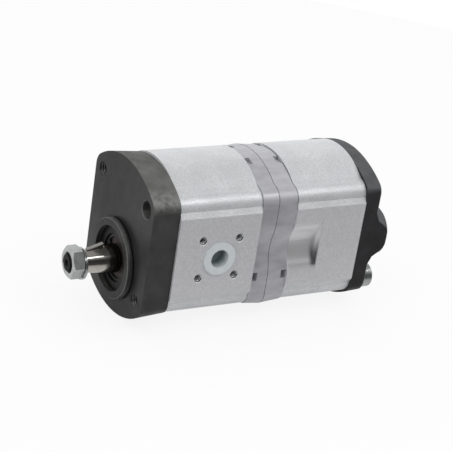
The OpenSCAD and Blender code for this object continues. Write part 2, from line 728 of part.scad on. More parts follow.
module plate_seal() color("black") turned([[plate_seal_r, x_rear_plate - flat_seal_t],
    [plate_seal_r + plate_seal_w, x_rear_plate - flat_seal_t],
    [plate_seal_r + plate_seal_w, x_rear_plate], [plate_seal_r, x_rear_plate]]);

// Rear cover

// The outside of a rear port boss, as [radius, height] from the cover's back: flare, draft, round.
function boss_profile() = let (r = rear_boss_d / 2, foot = 1.4, base = r + rear_boss_draft,
        sunk = rim_bevel + 0.4, flare = rear_boss_foot / foot)
    concat([[0, -sunk], [base + flare * (foot + sunk), -sunk], [base, foot]],
        [for (a = [0:30:90]) [r - rear_boss_round * (1 - cos(a)), rear_boss_h - rear_boss_round * (1 - sin(a))]],
        [[0, rear_boss_h]]);

module rear_cover() color("dimgray") difference() {
    union() {
        along(x_rear_cover) cover_casting(rear_cover_t, 0, cast_draft, rim_bevel);
        intersection() {
            for (p = rear_ports) translate([x_end, p[0], mid_z]) rotate([0, 90, 0])
                rotate_extrude() polygon(boss_profile());
            translate([x_rear_cover, cast_draft - cast_side, mid_z - lobe_r])
                cube([rear_cover_t + rear_boss_h + over, 2 * (cast_side - cast_draft), 2 * lobe_r]);
        }
    }
    for (c = mount_corners) at_corner(c) bar(x_rear_cover - over, x_end + over, mount_d / 2);
    for (c = screw_corners) at_corner(c) bar(x_rear_cover - over, x_end + over, screw_d / 2 + screw_gap);
    for (p = rear_ports) {
        translate([0, p[0], mid_z])
            bar(x_end + rear_boss_h - rear_port_depth, x_end + rear_boss_h + over, p[1]);
        translate([0, sign(p[0]) * channel_y, mid_z])
            bar(x_rear_cover - over, x_end + rear_boss_h - rear_port_depth + 2 * over, channel_d / 2);
    }
    dowel_holes(x_rear_cover - over, x_rear_cover + dowel_len / 2 + dowel_end_gap);
}

// Shafts and gears

module drive_shaft() color("silver") difference() {
    union() {
        turned([[0, x_thread_end], [thread_r - 1, x_thread_end], [thread_r, x_thread_end + 1],
            [thread_r, x_cone_end], [cone_end_r, x_cone_end], [journal_r, -cone_start],
            [journal_r, x_front_plate + plate_wall], [0, x_front_plate + plate_wall]]);
        gear(x_front_gear, front_gear_w, 0, 90);
        intersection() {
            tongue(x_front_plate + plate_wall - over, x_coupler + tongue_in, true);
            bar(x_front_plate, x_coupler + tongue_in, journal_r);
        }
    }
    key_disc(key_gap);
    turned([[0, x_thread_end - over], [centre_hole_d / 2 + over * tan(30), x_thread_end - over],
        [1, x_thread_end + (centre_hole_d / 2 - 1) / tan(30)], [1, x_thread_end + centre_hole_d + 1],
        [0, x_thread_end + centre_hole_d + 1]]);
}

module rear_drive_gear() color("silver") {
    bar(x_rear_body - plate_wall, x_rear_cover - journal_end_gap, journal_r, 0, 1);
    gear(x_rear_gear, rear_gear_w, 0, 90);
    intersection() {
        tongue(x_coupler_end - tongue_in, x_rear_body - plate_wall + over, false);
        bar(x_coupler_end - tongue_in, x_rear_body, journal_r);
    }
}

module driven_gear(x0, x1, x, w) color("silver") translate([0, 0, gear_centres]) {
    bar(x0 + journal_end_gap, x1 - journal_end_gap, journal_r, 1, 1);
    gear(x, w, 0, -90 + driven_turn);
}

module front_driven_gear() driven_gear(x_front_body, x_front_plate, x_front_gear, front_gear_w);
module rear_driven_gear() driven_gear(x_rear_body, x_rear_cover, x_rear_gear, rear_gear_w);

module shaft_coupler() color("gray") difference() {
    bar(x_coupler, x_coupler_end, coupler_d / 2, 0.8, 0.8);
    translate([x_coupler - over, -tongue_w / 2 - tongue_gap, -coupler_d])
        cube([tongue_in + 0.5 + over, tongue_w + 2 * tongue_gap, 2 * coupler_d]);
    translate([x_coupler_end - tongue_in - 0.5, -coupler_d, -tongue_w / 2 - tongue_gap])
        cube([tongue_in + 0.5 + over, 2 * coupler_d, tongue_w + 2 * tongue_gap]);
}

module woodruff_key() color("gainsboro") key_disc(0);

module lock_washer() color("gainsboro") translate([0, 0, -washer_drop]) difference() {
    bar(x_washer, x_washer_end, washer_d / 2);
    bar(x_washer - over, x_washer_end + over, thread_r + washer_drop + 5 * fit_gap);
    translate([x_washer - over, -washer_slit / 2, -washer_d]) cube([washer_t + 2 * over, washer_slit, washer_d]);
}

module shaft_nut() color("gainsboro") difference() {
    corner = nut_sw / sqrt(3);
    cut = nut_sw * 0.475;
    slope = (corner - cut) / 2;
    intersection() {
        along(x_nut) rotate([0, 0, nut_turn]) linear_extrude(nut_h) circle(r = corner, $fn = 6);
        turned([[0, x_nut], [cut, x_nut], [corner + over, x_nut + slope + over / 2],
            [corner + over, x_washer - slope - over / 2], [cut, x_washer], [0, x_washer]]);
    }
    bar(x_nut - over, x_washer + over, thread_r + fit_gap);
    turned([[0, x_nut - over], [thread_r + 0.8 + over, x_nut - over], [thread_r, x_nut + 0.8], [0, x_nut + 0.8]]);
}

// Bearing blocks, bushes and seals

// A block drawn from its outer face at 0 towards the gears.
module block() color("silver") difference() {
    linear_extrude(block_len) difference() {
        two_rounds(bore_r - block_gap);
        two_rounds(bush_out + fit_gap);
    }
    translate([0, 0, -over]) linear_extrude(groove_t + over) difference() {
        two_rounds(block_seal_r + flat_seal_gap);
        two_rounds(block_seal_r - block_seal_w - flat_seal_gap);
    }
    for (y = [-1, 1]) translate([y * 5.5, mid_z, block_len]) cube([5, 4.4, 2.4], center = true);
}

module bush(z) color("goldenrod") translate([0, z, 0]) difference() {
    cylinder(h = block_len, r = bush_out);
    translate([0, 0, -over]) cylinder(h = block_len + 2 * over, r = bush_in);
}

module block_seal() color("black") linear_extrude(flat_seal_t) difference() {
    two_rounds(block_seal_r);
    two_rounds(block_seal_r - block_seal_w);
}

module body_seal() color("black") linear_extrude(flat_seal_t) difference() {
    long_round(body_seal_r + body_seal_w);
    long_round(body_seal_r);
}

// Screws and plug

module case_screw(c) color("gainsboro") at_corner(c) difference() {
    union() {
        bar(screw_end, x_end + over, screw_d / 2 - fit_gap, 1, 0);
        bar(x_end, x_end + screw_head_h, screw_head_d / 2, 0, 0.8);
    }
    along(x_end + screw_head_h - screw_socket_depth) linear_extrude(screw_head_h)
        circle(r = screw_socket / sqrt(3), $fn = 6);
}

module port_plug() color("aliceblue") translate([x_side_port, -pad_w / 2, port_z]) rotate([90, 0, 0])
    difference() {
        r = side_pressure_d / 2 - plug_gap;
        union() {
            cylinder(h = plug_flange_t, r = plug_flange_d / 2);
            translate([0, 0, -plug_depth]) cylinder(h = plug_depth + over / 2, r = r);
        }
        translate([0, 0, -plug_depth + plug_wall]) cylinder(h = plug_depth + over, r = r - plug_wall);
    }

// Assembly
front_cover();
front_body();
front_plate();
rear_plate();
rear_body();
rear_cover();
drive_shaft();
front_driven_gear();
rear_drive_gear();
rear_driven_gear();
shaft_coupler();
woodruff_key();
lock_washer();
shaft_nut();
spigot_oring();
shaft_seal();
seal_circlip();
along(x_front_body) block();  // block_1
against(x_front_plate) block();  // block_2
along(x_rear_body) block();  // block_3
against(x_rear_cover) block();  // block_4
along(x_front_body) bush(0);  // bush_1a
along(x_front_body) bush(gear_centres);  // bush_1b
against(x_front_plate) bush(0);  // bush_2a
against(x_front_plate) bush(gear_centres);  // bush_2b
along(x_rear_body) bush(0);  // bush_3a
along(x_rear_body) bush(gear_centres);  // bush_3b
against(x_rear_cover) bush(0);  // bush_4a
against(x_rear_cover) bush(gear_centres);  // bush_4b
along(x_front_body) block_seal();  // block_seal_1
against(x_front_plate) block_seal();  // block_seal_2
along(x_rear_body) block_seal();  // block_seal_3
against(x_rear_cover) block_seal();  // block_seal_4
along(x_front_body) body_seal();  // body_seal_1
against(x_front_plate) body_seal();  // body_seal_2
along(x_rear_body) body_seal();  // body_seal_3
against(x_rear_cover) body_seal();  // body_seal_4
plate_seal();
case_screw(screw_corners[0]);  // case_screw_1
case_screw(screw_corners[1]);  // case_screw_2
dowel(x_front_body, 0);  // dowel_1a
dowel(x_front_body, 1);  // dowel_1b
dowel(x_front_plate, 0);  // dowel_2a
dowel(x_front_plate, 1);  // dowel_2b
dowel(x_rear_plate, 0);  // dowel_3a
dowel(x_rear_plate, 1);  // dowel_3b
dowel(x_rear_body, 0);  // dowel_4a
dowel(x_rear_body, 1);  // dowel_4b
dowel(x_rear_cover, 0);  // dowel_5a
dowel(x_rear_cover, 1);  // dowel_5b
port_plug();
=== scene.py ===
import bpy
import bmesh
import math
from mathutils import Matrix, Quaternion, Vector


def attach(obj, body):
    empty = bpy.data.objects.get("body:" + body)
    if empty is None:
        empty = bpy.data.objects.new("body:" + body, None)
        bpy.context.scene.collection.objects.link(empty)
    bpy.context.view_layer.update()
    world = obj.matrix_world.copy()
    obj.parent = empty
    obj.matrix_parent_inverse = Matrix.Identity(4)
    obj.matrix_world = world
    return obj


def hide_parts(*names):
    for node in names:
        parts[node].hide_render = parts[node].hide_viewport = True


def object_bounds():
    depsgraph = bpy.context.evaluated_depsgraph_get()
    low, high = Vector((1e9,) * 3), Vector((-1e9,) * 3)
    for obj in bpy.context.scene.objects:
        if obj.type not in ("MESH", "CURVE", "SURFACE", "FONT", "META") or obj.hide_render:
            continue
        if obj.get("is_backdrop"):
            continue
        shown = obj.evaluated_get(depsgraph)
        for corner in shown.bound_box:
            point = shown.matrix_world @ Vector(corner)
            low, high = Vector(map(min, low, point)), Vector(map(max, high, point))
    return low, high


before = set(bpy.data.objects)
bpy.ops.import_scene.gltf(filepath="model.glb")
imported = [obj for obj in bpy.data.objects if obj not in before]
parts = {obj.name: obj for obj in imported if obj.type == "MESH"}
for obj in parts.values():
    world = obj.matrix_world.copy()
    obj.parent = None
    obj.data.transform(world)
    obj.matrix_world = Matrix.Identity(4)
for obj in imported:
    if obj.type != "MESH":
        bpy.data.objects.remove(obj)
cad_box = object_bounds()
MM = 0.001

# Places and sizes that the details need, in millimetres in the frame's axes. X runs back along the
# shaft from the mounting face, and Z runs up
MID_Z = 15.5
MIDDLE = Vector((70, 0, 15)) * MM
SIDE_FACE_Y = 40.2
PAD_HALF_H = 26.2
SIDE_PORT_X = 48.1
SIDE_PORT_Z = 14.2
PRESSURE_PITCH = 24.75
SUCTION_PITCH = 28.3
M6_R = 3
FLANGE_HOLE_AT = 30
EAR_Y = -36
EAR_Z = 54
SPIGOT_RECESS_R = 20.3
FRONT_COVER_END = 40
FRONT_JOINT_X = 74.0
PLATES_JOINT_X = 84.9
REAR_JOINT_X = 98.75
SCOOP_FROM = 99.5
SCOOP_END = 119.1
SCOOP_HALF_H = 20
REAR_END = 171.3
REAR_PORTS = ((-25, 9.3), (24, 12.05))  # y of each rear port's axis, and its core radius


def srgb(text):
    """A colour written as sRGB hex, turned to linear."""
    values = [int(text[i:i + 2], 16) / 255 for i in (1, 3, 5)]
    return [v / 12.92 if v <= 0.04045 else ((v + 0.055) / 1.055) ** 2.4 for v in values] + [1]


# Camera: the photograph's own view, fitted to the pump's edges and holes
camera = bpy.data.objects.new("camera", bpy.data.cameras.new("camera"))
bpy.context.scene.collection.objects.link(camera)
bpy.context.scene.camera = camera
camera.data.lens = 120.37
camera.data.sensor_width = 36
camera.data.clip_start = 0.01
camera.rotation_mode = "QUATERNION"
camera.rotation_quaternion = Quaternion((0.820709, 0.509463, -0.193922, -0.171110))
camera.location = (-0.391375, -0.728821, 0.398321)

# The nodes that come up most
MATH = "ShaderNodeMath"
VECTOR = "ShaderNodeVectorMath"
RANGE = "ShaderNodeMapRange"  # value, low, high, what low gives (0), what high gives (1)
MIX = "ShaderNodeMix"  # numbers in 2 and 3, colours in 6 and 7
NOISE = "ShaderNodeTexNoise"
SPAN = (0.3, 0.7)  # between these lies nearly all that noise gives
SPLIT = "ShaderNodeSeparateXYZ"
JOIN = "ShaderNodeCombineXYZ"


def add(tree, kind, inputs=(), **settings):
    """Adds a node with its settings. Its inputs, by name or in order, take values, sockets or what
    other nodes give."""
    made = tree.nodes.new(kind)
    for name, value in settings.items():
        setattr(made, name, value)
    for name, value in (inputs.items() if isinstance(inputs, dict) else enumerate(inputs)):
        if isinstance(value, bpy.types.Node):
            value = next(out for out in value.outputs if out.enabled)
        if isinstance(value, bpy.types.NodeSocket):
            tree.links.new(value, made.inputs[name])
        else:
            made.inputs[name].default_value = value
    return made


def start(name):
    """A new material, its tree, and Object coordinates in millimetres."""
    finish = bpy.data.materials.new(name)
    finish.use_nodes = True
    tree = finish.node_tree
    tree.nodes.clear()
    place = add(tree, "ShaderNodeTexCoord").outputs["Object"]
    return finish, tree, add(tree, VECTOR, [place, (1 / MM, 1 / MM, 1 / MM)], operation="MULTIPLY")


def coat(tree, skin, roughness, relief=None, depth_mm=0, others=None):
    """Ends a material: its colour, roughness, relief of a depth, and its shader's other inputs."""
    looks = {"Base Color": skin, "Roughness": roughness, **(others or {})}
    if relief:
        looks["Normal"] = add(tree, "ShaderNodeBump", {"Height": relief, "Distance": depth_mm * MM,
                                                       "Strength": 1.0})
    shader = add(tree, "ShaderNodeBsdfPrincipled", looks)
    add(tree, "ShaderNodeOutputMaterial", {"Surface": shader})


def rings_round(tree, mm, strength):
    """Shader inputs for fine turning rings round the shaft's axis, which draw gloss out to fans."""
    ring = add(tree, VECTOR, [(1, 0, 0), mm], operation="CROSS_PRODUCT")
    ring = add(tree, "ShaderNodeVectorTransform", [ring], vector_type="VECTOR",
               convert_from="OBJECT", convert_to="WORLD")
    return {"Tangent": add(tree, VECTOR, [ring], operation="NORMALIZE"), "Anisotropic": strength}


def phosphated_iron(name, face, edge, shaded_flank, shine, ear_scuff_and_highlight):
    """Grey cast iron, turned on its face and left as cast round its edge, then phosphated and
    oiled: near black and satin on the face, with a paler, grainier edge and darker flat flanks.
    The paler edge is partly painted light on the lit arcs, and the darker flanks are painted
    shade. The near ear may carry a scuff with a painted highlight, and oil and painted shade
    darken the recess round the seal."""
    cloud_mm, sand_mm, scuff_and_glint_mm = 9.0, 0.9, 3.0
    square_on, side_on = (0.85, 0.97), (0.8, 0.97)
    ear_fade_mm, rim_mm = (1.5, 9.0), 0.3
    finish, tree, mm = start(name)
    facing = add(tree, SPLIT, [add(tree, "ShaderNodeTexCoord").outputs["Normal"]]).outputs
    x, y, z = add(tree, SPLIT, [mm]).outputs
    flat = add(tree, RANGE, [add(tree, MATH, [facing[0]], operation="ABSOLUTE"), *square_on])
    beside = add(tree, RANGE, [add(tree, MATH, [facing[1]], operation="ABSOLUTE"), *side_on])
    cloud = add(tree, NOISE, {"Vector": mm, "Scale": 1 / cloud_mm, "Detail": 3.0})
    sand = add(tree, NOISE, {"Vector": mm, "Scale": 1 / sand_mm, "Detail": 4.0})
    wash = add(tree, RANGE, [cloud, *SPAN])
    cast, side, turned = (
        add(tree, MIX, {0: wash, 6: srgb(dark), 7: srgb(light)}, data_type="RGBA")
        for dark, light in (edge, shaded_flank, face))
    # The flat flanks take a darker colour: painted shade on the sides
    cast = add(tree, MIX, {0: beside, 6: cast, 7: side}, data_type="RGBA")
    across = add(tree, JOIN, [y, z])
    # A paler mottled patch on the near ear: a scuff with a painted highlight
    from_ear = add(tree, VECTOR, [across, (EAR_Y, EAR_Z, 0)], operation="DISTANCE")
    rubs_and_glints = add(tree, NOISE, {"Vector": mm, "Scale": 1 / scuff_and_glint_mm, "Detail": 5.0})
    scuff_and_highlight = add(tree, MATH, [add(tree, RANGE, [from_ear, *ear_fade_mm, 1.0, 0.0]),
                             add(tree, RANGE, [rubs_and_glints, 0.3, 0.75])], operation="MULTIPLY")
    scuff_and_highlight = add(tree, MATH, [scuff_and_highlight, ear_scuff_and_highlight], operation="MULTIPLY")
    cast = add(tree, MIX, {0: scuff_and_highlight, 6: cast, 7: srgb("#a3a39f")}, data_type="RGBA")
    radius = add(tree, VECTOR, [across], operation="LENGTH")
    # The recess round the seal is darkened: oil and painted shade
    recess_oil_and_shade = add(tree, MATH, [
        add(tree, RANGE, [radius, SPIGOT_RECESS_R - rim_mm, SPIGOT_RECESS_R + rim_mm, 1.0, 0.0]),
        add(tree, MATH, [x, FRONT_COVER_END], operation="LESS_THAN")], operation="MULTIPLY")
    skin = add(tree, MIX, {0: flat, 6: cast, 7: turned}, data_type="RGBA")
    skin = add(tree, MIX, {0: recess_oil_and_shade, 6: skin, 7: srgb("#1b1a1a")}, data_type="RGBA")
    rough = add(tree, MIX, {0: flat, 2: add(tree, RANGE, [sand, *SPAN, 0.45, 0.6]),
                            3: add(tree, RANGE, [sand, *SPAN, 0.34, 0.44])})
    smoother = add(tree, MIX, {0: flat, 2: 1.0, 3: 0.2})
    relief = add(tree, MATH, [sand, smoother], operation="MULTIPLY")
    metal = add(tree, MATH, [flat, shine], operation="MULTIPLY")
    coat(tree, skin, rough, relief, 0.16, {"Metallic": metal, "Specular IOR Level": 0.15,
                                           **rings_round(tree, mm, 0.75)})
    return finish


def extruded_aluminium():
    """Extruded aluminium with its bright skin, blasted fine; its side faces are milled and greyer.
    The skin has long faint draw lines and small pale specks, and the tapped holes are painted dark
    inside as shade. The scoop is milled bright, with painted shade low in the corner where the
    cutter ran out. The draw lines and the blasting are drawn coarser than they are, so that they
    show."""
    cloud_mm, speck_mm, line_mm, dent_mm = 14.0, 1.1, 0.8, 1.8
    side_on, pad_depth_mm, pad_over_mm = (0.985, 0.995), 0.3, 0.2
    hole_rim_mm, hole_depth_mm = 0.3, 0.45
    scoop_y = (SIDE_FACE_Y - 1.4, SIDE_FACE_Y - 0.1)
    corner_shade_x = (SCOOP_END - 4.4, SCOOP_END - 1.8)
    corner_shade_y = (SIDE_FACE_Y - 1.2, SIDE_FACE_Y - 0.5)
    corner_shade_z = (MID_Z - 6, MID_Z + 5)
    finish, tree, mm = start("extruded_aluminium")
    facing = add(tree, SPLIT, [add(tree, "ShaderNodeTexCoord").outputs["Normal"]]).outputs
    x, y, z = add(tree, SPLIT, [mm]).outputs
    up = add(tree, MATH, [z, MID_Z], operation="SUBTRACT")
    up = add(tree, MATH, [up], operation="ABSOLUTE")
    out = add(tree, MATH, [y], operation="ABSOLUTE")
    cloud = add(tree, NOISE, {"Vector": mm, "Scale": 1 / cloud_mm, "Detail": 3.0})
    speck = add(tree, NOISE, {"Vector": mm, "Scale": 1 / speck_mm, "Detail": 3.0})
    drawn = add(tree, VECTOR, [mm, (1 / 30, 1, 1)], operation="MULTIPLY")
    lines = add(tree, NOISE, {"Vector": drawn, "Scale": 1 / line_mm, "Detail": 2.0})
    longer = add(tree, VECTOR, [mm, (1 / 2, 1, 1)], operation="MULTIPLY")
    dents = add(tree, NOISE, {"Vector": longer, "Scale": 1 / dent_mm, "Detail": 3.0})

    # Where the side face is milled
    pad = add(tree, RANGE, [add(tree, MATH, [facing[1]], operation="ABSOLUTE"), *side_on])
    for ends in (add(tree, MATH, [out, SIDE_FACE_Y - pad_depth_mm], operation="GREATER_THAN"),
                 add(tree, MATH, [up, PAD_HALF_H + pad_over_mm], operation="LESS_THAN")):
        pad = add(tree, MATH, [pad, ends], operation="MULTIPLY")

    # Where the four screw holes of each side go in, painted dark inside as shade
    hole_x, hole_z = (
        add(tree, MATH, [add(tree, MATH, [axis, middle], operation="SUBTRACT")],
            operation="ABSOLUTE")
        for axis, middle in ((x, SIDE_PORT_X), (z, SIDE_PORT_Z)))
    hole = add(tree, JOIN, [hole_x, hole_z])
    hole_shade = 0.0
    for pitch in (PRESSURE_PITCH, SUCTION_PITCH):
        off = add(tree, VECTOR, [hole, (pitch / 2, pitch / 2, 0)], operation="DISTANCE")
        near = add(tree, RANGE, [off, M6_R - hole_rim_mm, M6_R, 1.0, 0.0])
        hole_shade = add(tree, MATH, [hole_shade, near], operation="MAXIMUM")
    below = add(tree, MATH, [out, SIDE_FACE_Y - hole_depth_mm], operation="LESS_THAN")
    hole_shade = add(tree, MATH, [hole_shade, below], operation="MULTIPLY")

    # Where the scoop is, and the painted shade in its corner
    scoop = add(tree, RANGE, [out, *scoop_y, 1.0, 0.0])
    for ends in (add(tree, MATH, [up, SCOOP_HALF_H], operation="LESS_THAN"),
                 add(tree, MATH, [x, SCOOP_FROM], operation="GREATER_THAN")):
        scoop = add(tree, MATH, [scoop, ends], operation="MULTIPLY")
    corner_shade = scoop
    for fade in ([x, *corner_shade_x], [z, *corner_shade_z, 0.85, 0.0], [out, *corner_shade_y, 1.0, 0.0]):
        corner_shade = add(tree, MATH, [corner_shade, add(tree, RANGE, fade)], operation="MULTIPLY")

    skin = add(tree, MIX, {0: add(tree, RANGE, [cloud, *SPAN]), 6: srgb("#cfd0d2"),
                           7: srgb("#dfe0e2")}, data_type="RGBA")
    skin = add(tree, MIX, {0: add(tree, RANGE, [speck, 0.35, 0.75]), 6: skin,
                           7: srgb("#c3c4c7")}, data_type="RGBA")
    milled = add(tree, MIX, {0: add(tree, RANGE, [speck, 0.35, 0.7]), 6: srgb("#cacacd"),
                             7: srgb("#d8d8da")}, data_type="RGBA")
    milled = add(tree, MIX, {0: scoop, 6: milled, 7: srgb("#ededef")}, data_type="RGBA")
    # Painted shade, darker low in the corner where the scoop ends
    milled = add(tree, MIX, {0: corner_shade, 6: milled, 7: srgb("#4c4c50")}, data_type="RGBA")
    cut = add(tree, MATH, [pad, add(tree, MATH, [scoop, 0.0], operation="GREATER_THAN")],
              operation="MAXIMUM")
    skin = add(tree, MIX, {0: cut, 6: skin, 7: milled}, data_type="RGBA")
    # Painted shade inside the screw holes
    skin = add(tree, MIX, {0: hole_shade, 6: skin, 7: srgb("#2a2a2c")}, data_type="RGBA")
    rough = add(tree, MIX, {0: cut, 2: add(tree, RANGE, [lines, *SPAN, 0.36, 0.48]),
                            3: add(tree, RANGE, [speck, *SPAN, 0.42, 0.52])})
    rough = add(tree, MIX, {0: scoop, 2: rough, 3: 0.31})
    deep = add(tree, MIX, {0: cut, 2: 1.1, 3: 0.0})
    relief = add(tree, MATH, [lines, 0.5], operation="MULTIPLY")
    for layer, share in ((speck, 0.6), (dents, deep)):
        layer = add(tree, MATH, [layer, share], operation="MULTIPLY")
        relief = add(tree, MATH, [relief, layer], operation="ADD")
    metal = add(tree, MIX, {0: scoop, 2: 0.4, 3: 0.72})
    coat(tree, skin, rough, relief, 0.055, {"Metallic": metal})
    return finish


def cast_aluminium():
    """Pressure die-cast aluminium: a smooth dull skin, bluish grey, clouded where it flowed."""
    flow_mm, grain_mm = 5.0, 0.7
    finish, tree, mm = start("die_cast_aluminium")
    drawn = add(tree, VECTOR, [mm, (1 / 3, 1, 1)], operation="MULTIPLY")
    cloud = add(tree, NOISE, {"Vector": drawn, "Scale": 1 / flow_mm, "Detail": 3.0})
    grain = add(tree, NOISE, {"Vector": mm, "Scale": 1 / grain_mm, "Detail": 3.0})
    skin = add(tree, MIX, {0: add(tree, RANGE, [cloud, 0.3, 0.72]), 6: srgb("#b1b1b6"),
                           7: srgb("#c8c8cc")}, data_type="RGBA")
    coat(tree, skin, add(tree, RANGE, [cloud, *SPAN, 0.38, 0.5]), grain, 0.04, {"Metallic": 0.5})
    return finish


def turned_metal(name, dark, light, rough, step_mm=0.25, depth_mm=0.004, spot_mm=4.0, **others):
    """Turned or ground metal: fine rings round the shaft's axis, drawn as coarse as they need to
    show, and a faintly clouded tone."""
    finish, tree, mm = start(name)
    cloud = add(tree, NOISE, {"Vector": mm, "Scale": 1 / spot_mm, "Detail": 2.0})
    round_axis = add(tree, VECTOR, [mm, (1, 1 / 40, 1 / 40)], operation="MULTIPLY")
    rings = add(tree, NOISE, {"Vector": round_axis, "Scale": 1 / step_mm, "Detail": 2.0})
    tone = add(tree, MIX, {0: add(tree, RANGE, [cloud, *SPAN]), 6: srgb(dark),
                           7: srgb(light)}, data_type="RGBA")
    looks = {"Metallic": 1.0, **{label.replace("_", " "): value for label, value in others.items()}}
    coat(tree, tone, add(tree, RANGE, [rings, *SPAN, *rough]), rings, depth_mm, looks)
    return finish


def moulded_rubber(name, dark, light, rough):
    """Moulded rubber: matt, with a fine even grain, drawn coarser than the mould's so it shows."""
    grain_mm = 0.8
    finish, tree, mm = start(name)
    grain = add(tree, NOISE, {"Vector": mm, "Scale": 1 / grain_mm, "Detail": 3.0})
    skin = add(tree, MIX, {0: add(tree, RANGE, [grain, *SPAN]), 6: srgb(dark),
                           7: srgb(light)}, data_type="RGBA")
    coat(tree, skin, add(tree, RANGE, [grain, *SPAN, *rough]), grain, 0.02)
    return finish


def moulded_polyethylene():
    """Injection-moulded low-density polyethylene: milky, softly glossy and a little see-through.
    Its cup is painted darker deeper in, for the shade inside it and the dark bore behind it."""
    cloud_mm = 4.0
    finish, tree, mm = start("moulded_polyethylene")
    cloud = add(tree, NOISE, {"Vector": mm, "Scale": 1 / cloud_mm, "Detail": 2.0})
    milky = add(tree, MIX, {0: cloud, 6: srgb("#b9bfc1"), 7: srgb("#c9ced0")}, data_type="RGBA")
    y = add(tree, SPLIT, [mm]).outputs[1]
    # Painted shade: the cup darkens deeper in
    deep = add(tree, RANGE, [y, -SIDE_FACE_Y + 0.6, -SIDE_FACE_Y + 7])
    skin = add(tree, MIX, {0: deep, 6: milky, 7: srgb("#7f8a8b")}, data_type="RGBA")
    coat(tree, skin, add(tree, RANGE, [cloud, *SPAN, 0.3, 0.42]), cloud, 0.03, {
        "IOR": 1.51, "Subsurface Weight": 0.2, "Subsurface Radius": (0.003, 0.0035, 0.004)})
    return finish


def painted_gap_shade():
    """Painted shade: the dark line that a fine gap between two castings shows, with a mottled
    tone.
    """
    gap_mottle_mm = 1.5
    finish, tree, mm = start("painted_gap_shade")
    gap_mottle = add(tree, NOISE, {"Vector": mm, "Scale": 1 / gap_mottle_mm, "Detail": 2.0})
    # Painted shade of the gap, mottled
    skin = add(tree, MIX, {0: add(tree, RANGE, [gap_mottle, *SPAN]), 6: srgb("#2c2c2f"),
                           7: srgb("#55555a")}, data_type="RGBA")
    coat(tree, skin, 0.8)
    return finish


# The front cover is handled most, so its edge is paler and its ear scuffed; both are partly
# painted light, and the darker flanks of both covers are painted shade. The rear one is dull
front_iron = phosphated_iron(
    "phosphated_iron_front", face=("#2b2b2c", "#353536"), edge=("#525251", "#666664"),
    shaded_flank=("#353535", "#3f3f3f"), shine=0.3, ear_scuff_and_highlight=0.55)
rear_iron = phosphated_iron(
    "phosphated_iron_rear", face=("#2c2c2e", "#353537"), edge=("#4b4c4e", "#5a5b5d"),
    shaded_flank=("#262627", "#2e2e30"), shine=0.2, ear_scuff_and_highlight=0.0)
body_skin = extruded_aluminium()
plate_skin = cast_aluminium()
# The ground cone mirrors lamps and room sharply
ground_steel = turned_metal("ground_steel", "#b5b2ab", "#c6c3bc", (0.08, 0.14), depth_mm=0.002)
# The blackened thread end barely shines
black_steel = turned_metal("blackened_thread_steel", "#0b0b0d", "#17171a", (0.38, 0.5), spot_mm=1.0,
                           Metallic=0.0, Specular_IOR_Level=0.06)
# The key, cut from drawn bar, is greyer and softer than the cone
key_steel = turned_metal("drawn_key_steel", "#918f8b", "#a09e9a", (0.26, 0.36))
# Zinc plate gives an even, bright grey with a soft shine
zinc_steel = turned_metal("zinc_plated_steel", "#a3a6a6", "#b4b7b6", (0.2, 0.26), 0.6, 0.001,
                          Metallic=0.9)
# Freshly tapped threads glint pale in the dark holes
bright_thread = turned_metal("cut_aluminium_thread", "#d8d9db", "#ececee", (0.2, 0.3),
                             Metallic=0.35)
# Oiled spring steel is dark, with a dull shine
spring_steel = turned_metal("oiled_spring_steel", "#29292b", "#363638", (0.42, 0.55))
# Hardened steel is a darker grey that shines softly
hard_steel = turned_metal("hardened_steel", "#77777a", "#8f8f92", (0.25, 0.38))
# Where a tap has cut through the coat, bare iron glints
cut_iron = turned_metal("bare_cut_iron", "#8d8d8f", "#a9a9ab", (0.26, 0.36), Metallic=0.8)
# Bearing blocks of pale turned aluminium, and bushes with a yellow bronze face
block_metal = turned_metal("turned_block_aluminium", "#b6b7b9", "#cacbcd", (0.28, 0.4))
bush_metal = turned_metal("lined_bush_bronze", "#a07a45", "#b98f58", (0.3, 0.42))
# Black nitrile rings are matt; the brown fluoro rubber lip seal is nearly as dark
black_rubber = moulded_rubber("nitrile_rubber", "#161617", "#232325", (0.5, 0.65))
brown_rubber = moulded_rubber("fluoro_rubber", "#170a08", "#25110d", (0.55, 0.7))
plug_plastic = moulded_polyethylene()
gap_shade_finish = painted_gap_shade()

FINISHES = {
    "front_cover": front_iron, "rear_cover": rear_iron, "front_body": body_skin,
    "rear_body": body_skin, "front_plate": plate_skin, "rear_plate": plate_skin,
    "drive_shaft": ground_steel, "front_driven_gear": ground_steel,
    "rear_drive_gear": ground_steel, "rear_driven_gear": ground_steel,
    "shaft_coupler": hard_steel, "woodruff_key": key_steel, "lock_washer": zinc_steel,
    "shaft_nut": zinc_steel, "case_screw_1": zinc_steel, "case_screw_2": zinc_steel,
    "seal_circlip": spring_steel, "shaft_seal": brown_rubber, "spigot_oring": black_rubber,
    "plate_seal": black_rubber, "port_plug": plug_plastic,
}
FAMILIES = [("block_seal", black_rubber), ("body_seal", black_rubber), ("block_", block_metal),
            ("bush_", bush_metal), ("dowel_", ground_steel)]
for name, part in parts.items():
    finish = FINISHES.get(name) or next(f for start_of, f in FAMILIES if name.startswith(start_of))
    part.data.materials.clear()
    part.data.materials.append(finish)


STEPS_PER_TURN = 24


